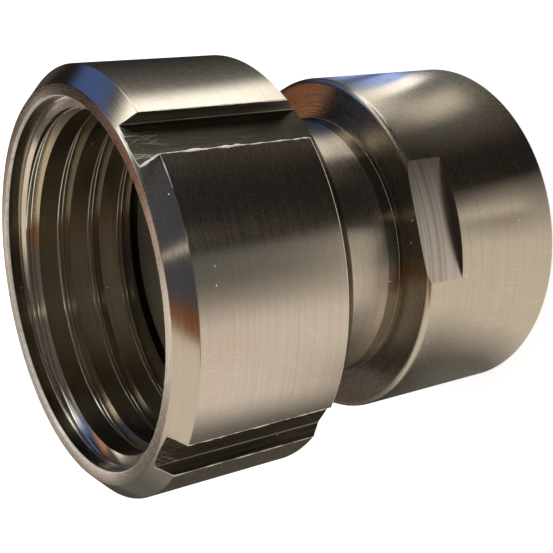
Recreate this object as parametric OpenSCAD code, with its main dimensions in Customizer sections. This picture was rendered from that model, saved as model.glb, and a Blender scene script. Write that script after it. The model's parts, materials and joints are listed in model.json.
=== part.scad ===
// Adapter for the outlet valve of a liquid container tank, turned in stainless steel.
// A union nut with a coarse 60 mm thread turns freely on the neck of a flanged liner.
// The liner carries a flat gasket in front and ends in a sleeve for a pipe thread, whose
// bore is plain here, at the crest of that fine thread.
// The adapter stands on the rear end of the sleeve with the mouth of the nut up, and
// the origin is the centre of that end. The nut is drawn forward against the flange.

/* [Sleeve] */
// Wall of the sleeve, from the major diameter of the pipe thread to its outside
sleeve_wall = 6.1; // [4.5:0.1:10]
// Length of the sleeve from its rear end to its shoulder face
sleeve_len = 28.5; // [26:0.5:40]
// Rounding of the shoulder's outer edge
shoulder_round = 1; // [0.3:0.1:1.5]
// Chamfer on the outer edge of the rear end
rear_chamfer = 0.3; // [0.2:0.1:1.5]
// Depth of the two spanner flats below the sleeve's outside
flats_depth = 1.75; // [1:0.05:3]
// Length of the spanner flats, back from the shoulder face
flats_len = 7.3; // [4:0.1:12]
// Angle of the first spanner flat about the axis, counted from X towards Y
flats_angle = 6; // [0:1:90]

/* [Pipe thread in the sleeve] */
// Major diameter of the pipe thread
pipe_major = 47.8; // [44:0.1:50]
// Depth of the pipe thread, from its major diameter in to the bore at its crest
pipe_depth = 1.479; // [1.2:0.001:1.5]
// Width of the countersink at the mouth of the pipe thread, beyond its major diameter
pipe_countersink = 0.4; // [0.2:0.1:1]
// Length of the thread relief in front of the pipe thread
pipe_relief_len = 2.6; // [1.5:0.1:4]
// Thickness of the web that the pipe's end stops against
web_t = 1.5; // [1:0.1:3]

/* [Liner] */
// Bore through the liner and the web of the sleeve
bore_d = 38; // [34:0.5:40]
// Wall of the neck
neck_wall = 3.75; // [2:0.05:4.5]
// Height of the seam collar at the foot of the neck, above the neck's surface
collar_h = 0.45; // [0.2:0.05:0.8]
// Width of the seam collar along the axis
collar_w = 0.45; // [0.3:0.05:0.8]
// Length of the hollow flare from the neck into the seam collar
flare_len = 4; // [2:0.1:6]
// Depth of the step from the neck down to the spigot in the sleeve
spigot_step = 0.75; // [0.5:0.05:1]
// Length of the spigot that sits in the sleeve
spigot_len = 6.5; // [4:0.1:7]
// Clearance all round between the spigot and its socket
spigot_clearance = 0.04; // [0.02:0.01:0.1]
// Thickness of the flange
flange_t = 2; // [1.5:0.1:3]
// Fillet between the neck and the flange
flange_fillet = 0.6; // [0.3:0.1:0.8]

/* [Gasket] */
// Width of the gasket's ring, in from the edge of the flange
gasket_w = 7; // [3:0.1:8]
// Thickness of the gasket
gasket_t = 2; // [1.5:0.1:3]
// Rounding of the gasket's edges
gasket_round = 0.35; // [0.1:0.05:0.6]

/* [Union nut] */
// Wall of the union nut, from the root of the coarse thread to its outside
nut_wall = 4.95; // [4:0.05:9]
// Length of the union nut
nut_len = 31.7; // [30:0.1:40]
// Free length of the neck between the shoulder face and the nut
neck_free = 16.3; // [10:0.1:24]
// Chamfer round the mouth, measured across the radius
front_chamfer_r = 2.9; // [1:0.1:3.2]
// Chamfer round the mouth, measured along the axis
front_chamfer_z = 2.85; // [1:0.05:4]
// Chamfer round the rear end of the nut
nut_rear_chamfer = 3.6; // [1:0.1:5]
// Thickness of the lip that pulls on the flange
lip_t = 2.5; // [2:0.1:4]
// Clearance all round between the lip and the neck
lip_clearance = 0.35; // [0.2:0.05:0.5]
// Gap between the lip and the flange
seat_gap = 0.1; // [0.05:0.05:0.3]
// Chamfer on both edges of the hole in the lip
lip_chamfer = 0.7; // [0.6:0.1:0.9]
// Width of the four spanner slots
slot_w = 8; // [5:0.5:12]
// Depth of the spanner slots at their middle
slot_depth = 2.6; // [1.5:0.1:3]
// Angle of the first slot about the axis, counted from X towards Y
slot_angle = -48; // [-90:1:90]
// Angle from the first slot to the second, with a like pair opposite
slot_spacing = 86; // [60:1:120]

/* [Coarse thread in the nut] */
// Nominal diameter of the coarse thread
thread_d = 60; // [58:0.5:61]
// Clearance between the nominal diameter and the thread's root, on the radius
thread_clearance = 0.05; // [0.02:0.01:0.2]
// Pitch of the coarse thread
thread_pitch = 6; // [4:0.1:7]
// Depth of the coarse thread
thread_depth = 1.85; // [1.2:0.05:2.2]
// Width of the flat at the root of the coarse thread
thread_root_flat = 1.2; // [0.8:0.05:1.6]
// Angle of each flank of the coarse thread
thread_flank = 17; // [10:1:30]
// Depth from the mouth to the middle of the first thread groove, at the start angle
thread_start_depth = 4.3; // [4:0.01:8]
// Angle about the axis at which that depth is measured
thread_start_angle = 160; // [0:1:359]
// Depth of the plain counterbore in front of the thread
counterbore_len = 2.5; // [1:0.1:4]
// Length of the cone from the counterbore down to the thread's crest
lead_cone_len = 0.5; // [0.2:0.1:1]
// Length of the thread relief between the thread and the lip
relief_len = 5.4; // [5:0.1:8]
// Clearance between the thread's root and the counterbore and relief, on the radius
root_to_relief = 0.05; // [0.02:0.01:0.3]
// Clearance between the thread's crest and the flange and gasket, on the radius
crest_to_flange = 0.2; // [0.1:0.05:0.5]
// Width of the broken inner edge of the mouth, across the radius
mouth_break_r = 0.15; // [0.05:0.05:0.3]
// Width of the broken inner edge of the mouth, along the axis
mouth_break_z = 0.5; // [0.2:0.1:1]

/* [Hidden] */

// Segments of a full circle, and straight steps in one turn of a thread cutter
$fn = 96;
turn_steps = 48;
// Small overshoot of a cut past the surface that it opens
cut = 0.2;
steel = [0.74, 0.71, 0.66];
rubber = [0.27, 0.23, 0.18];

// Radii of the sleeve and the liner
pipe_major_r = pipe_major / 2;
pipe_crest_r = pipe_major_r - pipe_depth;
sleeve_r = pipe_major_r + sleeve_wall;
bore_r = bore_d / 2;
neck_r = bore_r + neck_wall;
collar_r = neck_r + collar_h;
spigot_r = neck_r - spigot_step;
flare_r = (flare_len * flare_len + collar_h * collar_h) / (2 * collar_h);

// Radii of the union nut, and of the flange that has to pass through its thread
root_r = thread_d / 2 + thread_clearance;
nut_r = root_r + nut_wall;
crest_r = root_r - thread_depth;
relief_r = root_r + root_to_relief;
flange_r = crest_r - crest_to_flange;
gasket_hole_r = flange_r - gasket_w;
lip_hole_r = neck_r + lip_clearance;

// Heights up the axis
spigot_z = sleeve_len - spigot_len;
web_z = spigot_z - web_t;
pipe_relief_z = web_z - pipe_relief_len;
collar_z = sleeve_len + collar_w;
nut_z = sleeve_len + neck_free;
lip_z = nut_z + lip_t;
relief_z = lip_z + relief_len;
mouth_z = nut_z + nut_len;
counterbore_z = mouth_z - counterbore_len;
thread_z = counterbore_z - lead_cone_len;
flange_z = lip_z + seat_gap;
gasket_z = flange_z + flange_t;

// Half the width of a thread groove at a height above its root
function groove_half(flat, flank, height) = flat / 2 + height * tan(flank);

// One cross-section of a thread groove, as radius and height
function groove_section(root, height, flat, flank) =
    let (wide = groove_half(flat, flank, height))
    [[root - height, -wide], [root, -flat / 2], [root, flat / 2], [root - height, wide]];

// Solid swept along a right-hand helix, which cuts the groove of an internal thread.
// The middle of the groove passes height z at the given angle, and the solid runs
// from the height z_from to the height z_to, both measured at the groove's middle.
module thread_cutter(root, depth, flat, flank, pitch, angle, z, z_from, z_to) {
    height = depth + cut;
    t_from = (z_from - z) / pitch;
    t_to = (z_to - z) / pitch;
    count = ceil((t_to - t_from) * turn_steps);
    section = groove_section(root, height, flat, flank);
    corners = len(section);
    points = [for (i = [0:count])
        let (
            t = t_from + (t_to - t_from) * i / count,
            a = angle + 360 * t
        )
        for (p = section) [p[0] * cos(a), p[0] * sin(a), z + pitch * t + p[1]]];
    sides = [for (i = [0:count - 1], j = [0:corners - 1])
        let (
            a = i * corners + j,
            b = i * corners + (j + 1) % corners,
            c = b + corners,
            d = a + corners
        )
        each [[a, b, c], [a, c, d]]];
    last = count * corners;
    first_cap = [for (j = [1:corners - 2]) [0, j + 1, j]];
    last_cap = [for (j = [1:corners - 2]) [last, last + j, last + j + 1]];
    polyhedron(points = points, faces = concat(sides, first_cap, last_cap), convexity = 8);
}

// What is cut off an outer corner to round it, with the corner at the origin
module corner_round(r) {
    translate([-r, -r])
        difference() {
            square(r + cut);
            circle(r);
        }
}

// The sleeve's wall, its web and the socket for the liner's spigot
module sleeve_profile() {
    difference() {
        polygon([
            [pipe_major_r + pipe_countersink, 0],
            [sleeve_r - rear_chamfer, 0],
            [sleeve_r, rear_chamfer],
            [sleeve_r, sleeve_len],
            [spigot_r + spigot_clearance, sleeve_len],
            [spigot_r + spigot_clearance, spigot_z],
            [bore_r, spigot_z],
            [bore_r, web_z],
            [pipe_major_r + root_to_relief, web_z],
            [pipe_major_r + root_to_relief, pipe_relief_z],
            [pipe_crest_r, pipe_relief_z],
            [pipe_crest_r, pipe_depth + pipe_countersink],
        ]);
        translate([sleeve_r, sleeve_len]) corner_round(shoulder_round);
    }
}

// Sleeve with two spanner flats in front and the bore of the pipe thread behind
module sleeve() {
    color(steel)
    difference() {
        rotate_extrude() sleeve_profile();
        for (side = [0, 180])
            rotate([0, 0, flats_angle + side])
                translate([sleeve_r - flats_depth, -sleeve_r, sleeve_len - flats_len])
                    cube([sleeve_r, 2 * sleeve_r, flats_len + cut]);
    }
}

// The liner's wall: spigot, seam collar, flared neck and flange
module liner_profile() {
    difference() {
        union() {
            translate([bore_r, spigot_z]) square([spigot_r - bore_r, spigot_len]);
            translate([bore_r, sleeve_len]) square([neck_r - bore_r, gasket_z - sleeve_len]);
            translate([bore_r, sleeve_len]) square([collar_r - bore_r, collar_w]);
            translate([bore_r, flange_z]) square([flange_r - bore_r, flange_t]);
            translate([neck_r - cut, collar_z]) square([collar_h + cut, flare_len]);
            translate([neck_r - cut, flange_z - flange_fillet])
                square([flange_fillet + cut, flange_fillet + cut]);
        }
        translate([neck_r + flare_r, collar_z + flare_len]) circle(flare_r, $fn = 360);
        translate([neck_r + flange_fillet, flange_z - flange_fillet]) circle(flange_fillet);
    }
}

// Liner, one turned tube that the union nut hangs on
module liner() {
    color(steel)
    rotate_extrude() liner_profile();
}

// Flat gasket lying on the front of the flange
module gasket() {
    color(rubber)
    rotate_extrude()
        translate([gasket_hole_r, gasket_z])
            difference() {
                square([gasket_w, gasket_t]);
                translate([gasket_w, gasket_t]) corner_round(gasket_round);
                translate([0, gasket_t]) mirror([1, 0]) corner_round(gasket_round);
            }
}

// The nut's wall: chamfered outside, lip, relief, thread crest and counterbore
module nut_profile() {
    polygon([
        [lip_hole_r + lip_chamfer, nut_z],
        [nut_r - nut_rear_chamfer, nut_z],
        [nut_r, nut_z + nut_rear_chamfer],
        [nut_r, mouth_z - front_chamfer_z],
        [nut_r - front_chamfer_r, mouth_z],
        [relief_r + mouth_break_r, mouth_z],
        [relief_r, mouth_z - mouth_break_z],
        [relief_r, counterbore_z],
        [crest_r, thread_z],
        [crest_r, relief_z],
        [relief_r, relief_z],
        [relief_r, lip_z],
        [lip_hole_r + lip_chamfer, lip_z],
        [lip_hole_r, lip_z - lip_chamfer],
        [lip_hole_r, nut_z + lip_chamfer],
    ]);
}

// Four slots for a hook spanner, in two opposite pairs
module nut_slots() {
    for (side = [0, 180], turn = [0, slot_spacing])
        rotate([0, 0, slot_angle + turn + side])
            translate([nut_r - slot_depth, -slot_w / 2, nut_z - cut])
                cube([nut_r, slot_w, nut_len + 2 * cut]);
}

// Union nut with its spanner slots and the coarse thread
module union_nut() {
    groove_end = groove_half(thread_root_flat, thread_flank, thread_depth) + cut;
    color(steel)
    difference() {
        rotate_extrude() nut_profile();
        nut_slots();
        thread_cutter(root_r, thread_depth, thread_root_flat, thread_flank, thread_pitch,
                      thread_start_angle, mouth_z - thread_start_depth,
                      relief_z - groove_end, counterbore_z + groove_end);
    }
}

sleeve();
liner();
gasket();
union_nut();
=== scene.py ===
"""Tank valve adapter with a union nut: its turned steel and rubber, and the stage it is shown on."""

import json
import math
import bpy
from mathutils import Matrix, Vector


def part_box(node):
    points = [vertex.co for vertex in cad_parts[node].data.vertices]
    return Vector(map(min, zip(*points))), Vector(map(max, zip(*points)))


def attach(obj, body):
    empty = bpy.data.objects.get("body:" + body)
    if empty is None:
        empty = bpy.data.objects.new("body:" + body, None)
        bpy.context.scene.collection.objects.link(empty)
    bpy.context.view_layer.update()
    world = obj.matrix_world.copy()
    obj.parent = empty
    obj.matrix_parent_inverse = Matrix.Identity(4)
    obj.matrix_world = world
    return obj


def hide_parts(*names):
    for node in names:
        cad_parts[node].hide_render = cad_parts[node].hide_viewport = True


bl_info = {
    "name": "Tank valve adapter",
    "version": (1, 0, 0),
    "blender": (4, 5, 0),
    "location": "View3D > Sidebar > Adapter",
    "description": "Makes a turned steel adapter with a union nut, and its stage",
    "category": "Add Mesh",
}

import bmesh
import bpy
from bpy.props import FloatProperty, FloatVectorProperty, IntProperty, PointerProperty
from mathutils import Matrix, Vector

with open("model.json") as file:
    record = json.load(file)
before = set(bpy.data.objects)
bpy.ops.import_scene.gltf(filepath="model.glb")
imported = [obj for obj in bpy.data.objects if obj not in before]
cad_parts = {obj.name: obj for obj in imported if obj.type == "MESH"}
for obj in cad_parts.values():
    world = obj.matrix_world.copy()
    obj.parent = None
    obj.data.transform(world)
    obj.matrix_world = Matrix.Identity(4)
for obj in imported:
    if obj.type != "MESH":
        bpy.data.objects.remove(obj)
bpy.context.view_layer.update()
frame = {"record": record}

MM = 0.001
MOUNTS = {m["name"]: m for m in frame["record"]["mounts"]}
SLEEVE_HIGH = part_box("sleeve")[1]
LINER_LOW, LINER_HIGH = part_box("liner")
GASKET_LOW, GASKET_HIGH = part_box("gasket")
NUT_LOW, NUT_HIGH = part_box("union_nut")

# Roundings of the small turned edges
CRISP = 0.1 * MM
SOFT = 0.15 * MM

# How far a face's normal has to lean a way, to look that way at all or straight that way
LEANING = 0.5
STRAIGHT = 0.97


def length(name, text, value):
    """A size in metres that shows in the user's own unit."""
    return FloatProperty(name=name, description=text, default=value, unit="LENGTH", precision=5)


def turn(name, text, degrees):
    """An angle, given here in degrees."""
    return FloatProperty(name=name, description=text, default=math.radians(degrees), subtype="ANGLE")


def paint(name, text, colour):
    """A colour, in linear values."""
    return FloatVectorProperty(name=name, description=text, default=colour, subtype="COLOR",
                               min=0.0, max=1.0)


class NutSizes(bpy.types.PropertyGroup):
    """Sizes of the union nut and its coarse thread"""

    radius: length("Radius", "Outside radius of the nut", NUT_HIGH.x)
    rear: length("Rear", "Height of the nut's rear face", NUT_LOW.z)
    mouth: length("Mouth", "Height of the nut's mouth", NUT_HIGH.z)
    front_chamfer_r: length("Front chamfer across", "Front chamfer across the radius", 2.9 * MM)
    front_chamfer_z: length("Front chamfer along", "Front chamfer along the axis", 2.85 * MM)
    rear_chamfer: length("Rear chamfer", "Chamfer round the rear end", 3.6 * MM)
    crest: length("Crest radius", "Radius of the coarse thread's crest",
                  MOUNTS["tank_thread"]["dims"]["r_mm"] * MM)
    thread_depth: length("Thread depth", "Depth of the coarse thread", 1.85 * MM)
    pitch: length("Pitch", "Pitch of the coarse thread", 6.0 * MM)
    root_flat: length("Root flat", "Width of the flat at the thread's root", 1.2 * MM)
    flank: turn("Flank", "Angle of each flank of the coarse thread", 17)
    start_depth: length("Start depth", "Depth of the first groove below the mouth", 4.3 * MM)
    start_angle: turn("Start angle", "Angle at which that depth is measured", 160)
    crest_bead: length("Crest bead", "Radius of the bead raised along the crest's edge", 0.14 * MM)
    root_round: length("Root round", "Rounding of the thread's root corners", 0.4 * MM)
    relief: length("Relief", "Depth of the relief beyond the thread's root", 0.05 * MM)
    relief_len: length("Relief length", "Length of the relief behind the thread", 5.4 * MM)
    counterbore_len: length("Counterbore", "Depth of the counterbore from the mouth", 2.5 * MM)
    lead_len: length("Lead cone", "Length of the cone in front of the thread", 0.5 * MM)
    lead_r: length("Lead cone across", "Width of that cone across the radius", 0.9 * MM)
    mouth_break_r: length("Mouth break across", "Broken inner edge across the radius", 0.15 * MM)
    mouth_break_z: length("Mouth break along", "Broken inner edge along the axis", 0.5 * MM)
    lip: length("Lip", "Thickness of the lip behind the flange", 2.5 * MM)
    lip_clearance: length("Lip clearance", "Clearance of the lip round the neck", 0.35 * MM)
    lip_chamfer: length("Lip chamfer", "Chamfers on the edges of the lip's hole", 0.7 * MM)
    slot_width: length("Slot width", "Width of the spanner slots", 8.0 * MM)
    slot_depth: length("Slot depth", "Depth of the spanner slots", 2.6 * MM)
    slot_angle: turn("Slot angle", "Angle of the first slot", -48)
    slot_spacing: turn("Slot spacing", "Angle from the first slot to the second", 86)
    slot_round: length("Slot round", "Rounding of the corners of the slots' floors", 0.25 * MM)
    edge_round: length("Edge round", "Rounding of the turned outer edges", 0.22 * MM)
    burr: length("Burr", "Mean radius of the burrs along the slots' edges", 0.12 * MM)


class LinerSizes(bpy.types.PropertyGroup):
    """Sizes of the liner: spigot, seam collar, neck and flange"""

    bore: length("Bore radius", "Radius of the bore", 19.0 * MM)
    neck: length("Neck radius", "Outside radius of the neck", 22.75 * MM)
    collar: length("Collar height", "Height of the seam collar above the neck", 0.45 * MM)
    collar_width: length("Collar width", "Width of the seam collar", 0.45 * MM)
    flare: length("Flare", "Length of the flare into the seam collar", 4.0 * MM)
    spigot: length("Spigot radius", "Outside radius of the spigot in the sleeve", 22.0 * MM)
    flange: length("Flange radius", "Outside radius of the flange", LINER_HIGH.x)
    flange_thick: length("Flange", "Thickness of the flange", 2.0 * MM)
    fillet: length("Fillet", "Fillet between the neck and the flange", 0.6 * MM)
    low: length("Low end", "Height of the spigot's end", LINER_LOW.z)
    high: length("High end", "Height of the flange's front", LINER_HIGH.z)


class SleeveSizes(bpy.types.PropertyGroup):
    """Sizes of the sleeve and its pipe thread"""

    radius: length("Radius", "Outside radius of the sleeve", SLEEVE_HIGH.x)
    shoulder: length("Shoulder", "Height of the shoulder face", SLEEVE_HIGH.z)
    shoulder_round: length("Shoulder round", "Rounding of the shoulder's edge", 1.0 * MM)
    rear_chamfer: length("Rear chamfer", "Chamfer on the rear edge", 0.3 * MM)
    flat: length("Flat", "Distance of the spanner flats from the axis", 28.25 * MM)
    flat_len: length("Flat length", "Length of the spanner flats", 7.3 * MM)
    flat_angle: turn("Flat angle", "Angle of the first spanner flat", 6)
    socket: length("Socket radius", "Radius of the socket for the spigot", 22.04 * MM)
    bore: length("Bore radius", "Radius of the bore through the web", 19.0 * MM)
    web: length("Web", "Thickness of the web", 1.5 * MM)
    crest: length("Pipe crest radius", "Radius of the pipe thread's crest",
                  MOUNTS["pipe_thread"]["dims"]["r_mm"] * MM)
    thread_depth: length("Pipe thread depth", "Depth of the pipe thread", 1.479 * MM)
    pitch: length("Pipe pitch", "Pitch of the pipe thread", 2.309 * MM)
    root_flat: length("Pipe root flat", "Width of the pipe thread's rounded root", 0.3 * MM)
    flank: turn("Pipe flank", "Angle of each flank of the pipe thread", 27.5)
    countersink: length("Countersink", "Countersink beyond the pipe thread", 0.4 * MM)
    relief: length("Relief", "Depth of the relief beyond the pipe thread", 0.05 * MM)
    relief_len: length("Relief length", "Length of the pipe thread's relief", 2.6 * MM)


class GasketSizes(bpy.types.PropertyGroup):
    """Sizes of the gasket"""

    radius: length("Radius", "Outside radius of the gasket", GASKET_HIGH.x)
    width: length("Width", "Width of the ring", 7.0 * MM)
    low: length("Low", "Height of the gasket's rear", GASKET_LOW.z)
    high: length("High", "Height of the gasket's front", GASKET_HIGH.z)
    edge: length("Edge", "Rounding of the gasket's edges", 0.35 * MM)


class FinishColours(bpy.types.PropertyGroup):
    """Colours of the steel and the rubber"""

    steel: paint("Steel", "Colour of the turned steel", (0.66, 0.60, 0.52))
    groove: paint("Groove steel", "Colour of the coarse thread's groove", (0.6, 0.57, 0.49))
    # Painted shade: darker steel for the counterbore, the nut's rear face and the foot of the neck, where
    # shade falls
    bored: paint("Bored steel", "Colour of the oily counterbore, nut's rear and foot of the neck",
                 (0.39, 0.345, 0.25))
    # Painted shade: the near-black colour of the steel in the slots
    slot: paint("Slot steel", "Colour of the stained steel in the slots", (0.05, 0.042, 0.03))
    # The colour of the strokes in the slots, and of the painted shade on the flats' end walls
    stroke: paint("Slot strokes", "Colour of the strokes in the slots and of the flats' end walls",
                  (0.26, 0.23, 0.18))
    flat: paint("Flat steel", "Colour of the milled flats", (0.92, 0.85, 0.81))
    # Painted highlight: the near-white colour of the burrs, of thin lines along edges and of the groove's
    # first turn
    burr: paint("Burr", "Colour of torn bright edges and of the groove's first turn", (0.98, 0.92, 0.83))
    rubber: paint("Rubber", "Colour of the gasket", (0.085, 0.07, 0.045))
    floor: paint("Floor", "Colour of the floor", (0.86, 0.86, 0.86))


class MeshFineness(bpy.types.PropertyGroup):
    """How finely round forms are divided"""

    around: IntProperty(name="Around", description="Sides of a turned form", default=384)
    turn_steps: IntProperty(name="Thread steps", description="Steps in one turn of a thread",
                            default=144)


SETTINGS = {
    "adapter_nut": NutSizes,
    "adapter_liner": LinerSizes,
    "adapter_sleeve": SleeveSizes,
    "adapter_gasket": GasketSizes,
    "adapter_colours": FinishColours,
    "adapter_mesh": MeshFineness,
}


# Outlines and turned forms

def arc(centre, radius, from_deg, to_deg, steps):
    """Points on an arc in an outline."""
    points = []
    for i in range(steps + 1):
        a = math.radians(from_deg + (to_deg - from_deg) * i / steps)
        points.append((centre[0] + radius * math.cos(a), centre[1] + radius * math.sin(a)))
    return points


def eased(outline, steps=4):
    """An outline of (x, y) or (x, y, rounding) corners, with each given rounding made an arc."""
    points = []
    count = len(outline)
    for i, corner in enumerate(outline):
        here = Vector(corner[:2])
        size = corner[2] if len(corner) > 2 else 0.0
        if size <= 0.0:
            points.append(tuple(here))
            continue
        back = (Vector(outline[i - 1][:2]) - here).normalized()
        on = (Vector(outline[(i + 1) % count][:2]) - here).normalized()
        half = back.angle(on) / 2
        reach = size / math.tan(half)
        centre = here + (back + on).normalized() * (size / math.sin(half))
        first = here + back * reach - centre
        last = here + on * reach - centre
        sweep = first.angle_signed(last)
        for j in range(steps + 1):
            a = -sweep * j / steps
            turned = Vector((first.x * math.cos(a) - first.y * math.sin(a),
                             first.x * math.sin(a) + first.y * math.cos(a)))
            points.append(tuple(centre + turned))
    return points


def turned_form(name, outline, around):
    """A closed solid made by turning a closed outline of (radius, height) round the axis."""
    form = bmesh.new()
    rings = []
    for i in range(around):
        a = math.tau * i / around
        rings.append([form.verts.new((r * math.cos(a), r * math.sin(a), z)) for r, z in outline])
    count = len(outline)
    for i in range(around):
        here, there = rings[i], rings[(i + 1) % around]
        for j in range(count):
            k = (j + 1) % count
            form.faces.new((here[j], there[j], there[k], here[k]))
    bmesh.ops.recalc_face_normals(form, faces=form.faces)
    return object_from(name, form)


def object_from(name, form):
    """A new object in the scene from a finished bmesh."""
    mesh = bpy.data.meshes.new(name)
    form.to_mesh(mesh)
    form.free()
    piece = bpy.data.objects.new(name, mesh)
    bpy.context.scene.collection.objects.link(piece)
    return piece


def line_curve(name, lines, closed=False):
    """A curve through each given list of points, for a tree to sweep."""
    curve = bpy.data.curves.new(name, "CURVE")
    curve.dimensions = "3D"
    for points in lines:
        line = curve.splines.new("POLY")
        line.points.add(len(points) - 1)
        for point, place in zip(line.points, points):
            point.co = (*place, 1.0)
        line.use_cyclic_u = closed
    piece = bpy.data.objects.new(name, curve)
    bpy.context.scene.collection.objects.link(piece)
    return piece


def outline_curve(name, outline):
    """A closed flat curve through an outline's points."""
    return line_curve(name, [[(x, y, 0.0) for x, y in outline]], closed=True)


# Geometry Nodes

def new_tree(name, inputs):
    """A geometry tree with named inputs. Gives the tree and its input and output nodes."""
    tree = bpy.data.node_groups.new(name, "GeometryNodeTree")
    for label, kind, value in inputs:
        socket = tree.interface.new_socket(name=label, in_out="INPUT", socket_type=kind)
        if value is not None:
            socket.default_value = value
    tree.interface.new_socket(name="Geometry", in_out="OUTPUT", socket_type="NodeSocketGeometry")
    return tree, tree.nodes.new("NodeGroupInput"), tree.nodes.new("NodeGroupOutput")


def node(tree, kind, links=(), **settings):
    """Adds a node, sets its properties, and links or sets its inputs by name or number."""
    made = tree.nodes.new(kind)
    for key, value in settings.items():
        setattr(made, key, value)
    for key, source in dict(links).items():
        if isinstance(source, bpy.types.NodeSocket):
            tree.links.new(source, made.inputs[key])
        else:
            made.inputs[key].default_value = source
    return made


def maths(tree, operation, *values):
    """The output of a Math node with these values or sockets."""
    return node(tree, "ShaderNodeMath", enumerate(values), operation=operation).outputs[0]


def noise(tree, place, scale, detail, roughness=0.5):
    """A noise texture's node at a place."""
    return node(tree, "ShaderNodeTexNoise", {
        "Vector": place, "Scale": scale, "Detail": detail, "Roughness": roughness})


def tree_end(tree, exit_node, geometry, material):
    """Ends a tree in Realize Instances and Set Material."""
    real = node(tree, "GeometryNodeRealizeInstances", {"Geometry": geometry})
    done = node(tree, "GeometryNodeSetMaterial", {"Geometry": real.outputs[0], "Material": material})
    tree.links.new(done.outputs[0], exit_node.inputs[0])


def helix_tree():
    """Sweeps a section along a right-hand helix, as a thread's groove or bead."""
    tree, entry, exit_node = new_tree("Helical groove", [
        ("Section", "NodeSocketObject", None),
        ("Radius", "NodeSocketFloat", 0.03),
        ("Pitch", "NodeSocketFloat", 0.006),
        ("Turns", "NodeSocketFloat", 4.0),
        ("Start Height", "NodeSocketFloat", 0.05),
        ("Start Angle", "NodeSocketFloat", 0.0),
        ("Steps", "NodeSocketInt", 144),
        ("Material", "NodeSocketMaterial", None),
    ])
    rise = maths(tree, "MULTIPLY", entry.outputs["Pitch"], entry.outputs["Turns"])
    spiral = node(tree, "GeometryNodeCurveSpiral", {
        "Resolution": entry.outputs["Steps"],
        "Rotations": entry.outputs["Turns"],
        "Start Radius": entry.outputs["Radius"],
        "End Radius": entry.outputs["Radius"],
        "Height": rise,
        "Reverse": True,
    })
    upright = node(tree, "GeometryNodeSetCurveNormal", {"Curve": spiral.outputs[0]}, mode="Z_UP")
    section = node(tree, "GeometryNodeObjectInfo", {"Object": entry.outputs["Section"]})
    swept = node(tree, "GeometryNodeCurveToMesh", {
        "Curve": upright.outputs[0],
        "Profile Curve": section.outputs["Geometry"],
        "Fill Caps": True,
    })
    place = node(tree, "ShaderNodeCombineXYZ", {"Z": entry.outputs["Start Height"]})
    spin = node(tree, "ShaderNodeCombineXYZ", {"Z": entry.outputs["Start Angle"]})
    moved = node(tree, "GeometryNodeTransform", {
        "Geometry": swept.outputs[0],
        "Translation": place.outputs[0],
        "Rotation": spin.outputs[0],
    })
    tree_end(tree, exit_node, moved.outputs[0], entry.outputs["Material"])
    return tree


def burr_tree():
    """Sweeps an uneven bead along an edge: it wanders, and its thickness changes."""
    tree, entry, exit_node = new_tree("Burr", [
        ("Edge", "NodeSocketObject", None),
        ("Thickness", "NodeSocketFloat", 0.00005),
        ("Wander", "NodeSocketFloat", 0.0001),
        ("Step", "NodeSocketFloat", 0.0002),
        ("Grain", "NodeSocketFloat", 700.0),
        ("Material", "NodeSocketMaterial", None),
    ])
    edge = node(tree, "GeometryNodeObjectInfo", {"Object": entry.outputs["Edge"]})
    fine = node(tree, "GeometryNodeResampleCurve", {
        "Curve": edge.outputs["Geometry"], "Length": entry.outputs["Step"]}, mode="LENGTH")
    place = node(tree, "GeometryNodeInputPosition").outputs[0]
    drift = noise(tree, place, entry.outputs["Grain"], 3.0)
    centred = node(tree, "ShaderNodeVectorMath", {0: drift.outputs["Color"], 1: (0.5, 0.5, 0.5)},
                   operation="SUBTRACT")
    offset = node(tree, "ShaderNodeVectorMath", {0: centred.outputs[0], "Scale": entry.outputs["Wander"]},
                  operation="SCALE")
    moved = node(tree, "GeometryNodeSetPosition", {
        "Geometry": fine.outputs[0], "Offset": offset.outputs[0]})
    swell = noise(tree, place, maths(tree, "MULTIPLY", entry.outputs["Grain"], 0.5), 2.0)
    scale = node(tree, "ShaderNodeMapRange", {
        "Value": swell.outputs[0], "From Min": 0.4, "From Max": 0.64, "To Min": 0.4, "To Max": 2.2})
    profile = node(tree, "GeometryNodeCurvePrimitiveCircle", {
        "Resolution": 6, "Radius": entry.outputs["Thickness"]})
    swept = node(tree, "GeometryNodeCurveToMesh", {
        "Curve": moved.outputs[0],
        "Profile Curve": profile.outputs["Curve"],
        "Scale": scale.outputs[0],
        "Fill Caps": True,
    })
    tree_end(tree, exit_node, swept.outputs[0], entry.outputs["Material"])
    return tree


def slots_tree():
    """Sets four copies of a slot's cutter round the axis, as two opposite pairs."""
    tree, entry, exit_node = new_tree("Spanner slots", [
        ("Cutter", "NodeSocketObject", None),
        ("First Angle", "NodeSocketFloat", 0.0),
        ("Spacing", "NodeSocketFloat", 1.5),
        ("Material", "NodeSocketMaterial", None),
    ])
    points = node(tree, "GeometryNodePoints", {"Count": 4})
    index = node(tree, "GeometryNodeInputIndex").outputs[0]
    second = maths(tree, "MODULO", index, 2.0)
    opposite = maths(tree, "GREATER_THAN", index, 1.5)
    angle = maths(tree, "ADD",
                  maths(tree, "MULTIPLY_ADD", second, entry.outputs["Spacing"],
                        entry.outputs["First Angle"]),
                  maths(tree, "MULTIPLY", opposite, math.pi))
    spin = node(tree, "ShaderNodeCombineXYZ", {"Z": angle})
    cutter = node(tree, "GeometryNodeObjectInfo", {"Object": entry.outputs["Cutter"]})
    copies = node(tree, "GeometryNodeInstanceOnPoints", {
        "Points": points.outputs[0],
        "Instance": cutter.outputs["Geometry"],
        "Rotation": spin.outputs[0],
    })
    tree_end(tree, exit_node, copies.outputs[0], entry.outputs["Material"])
    return tree


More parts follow.
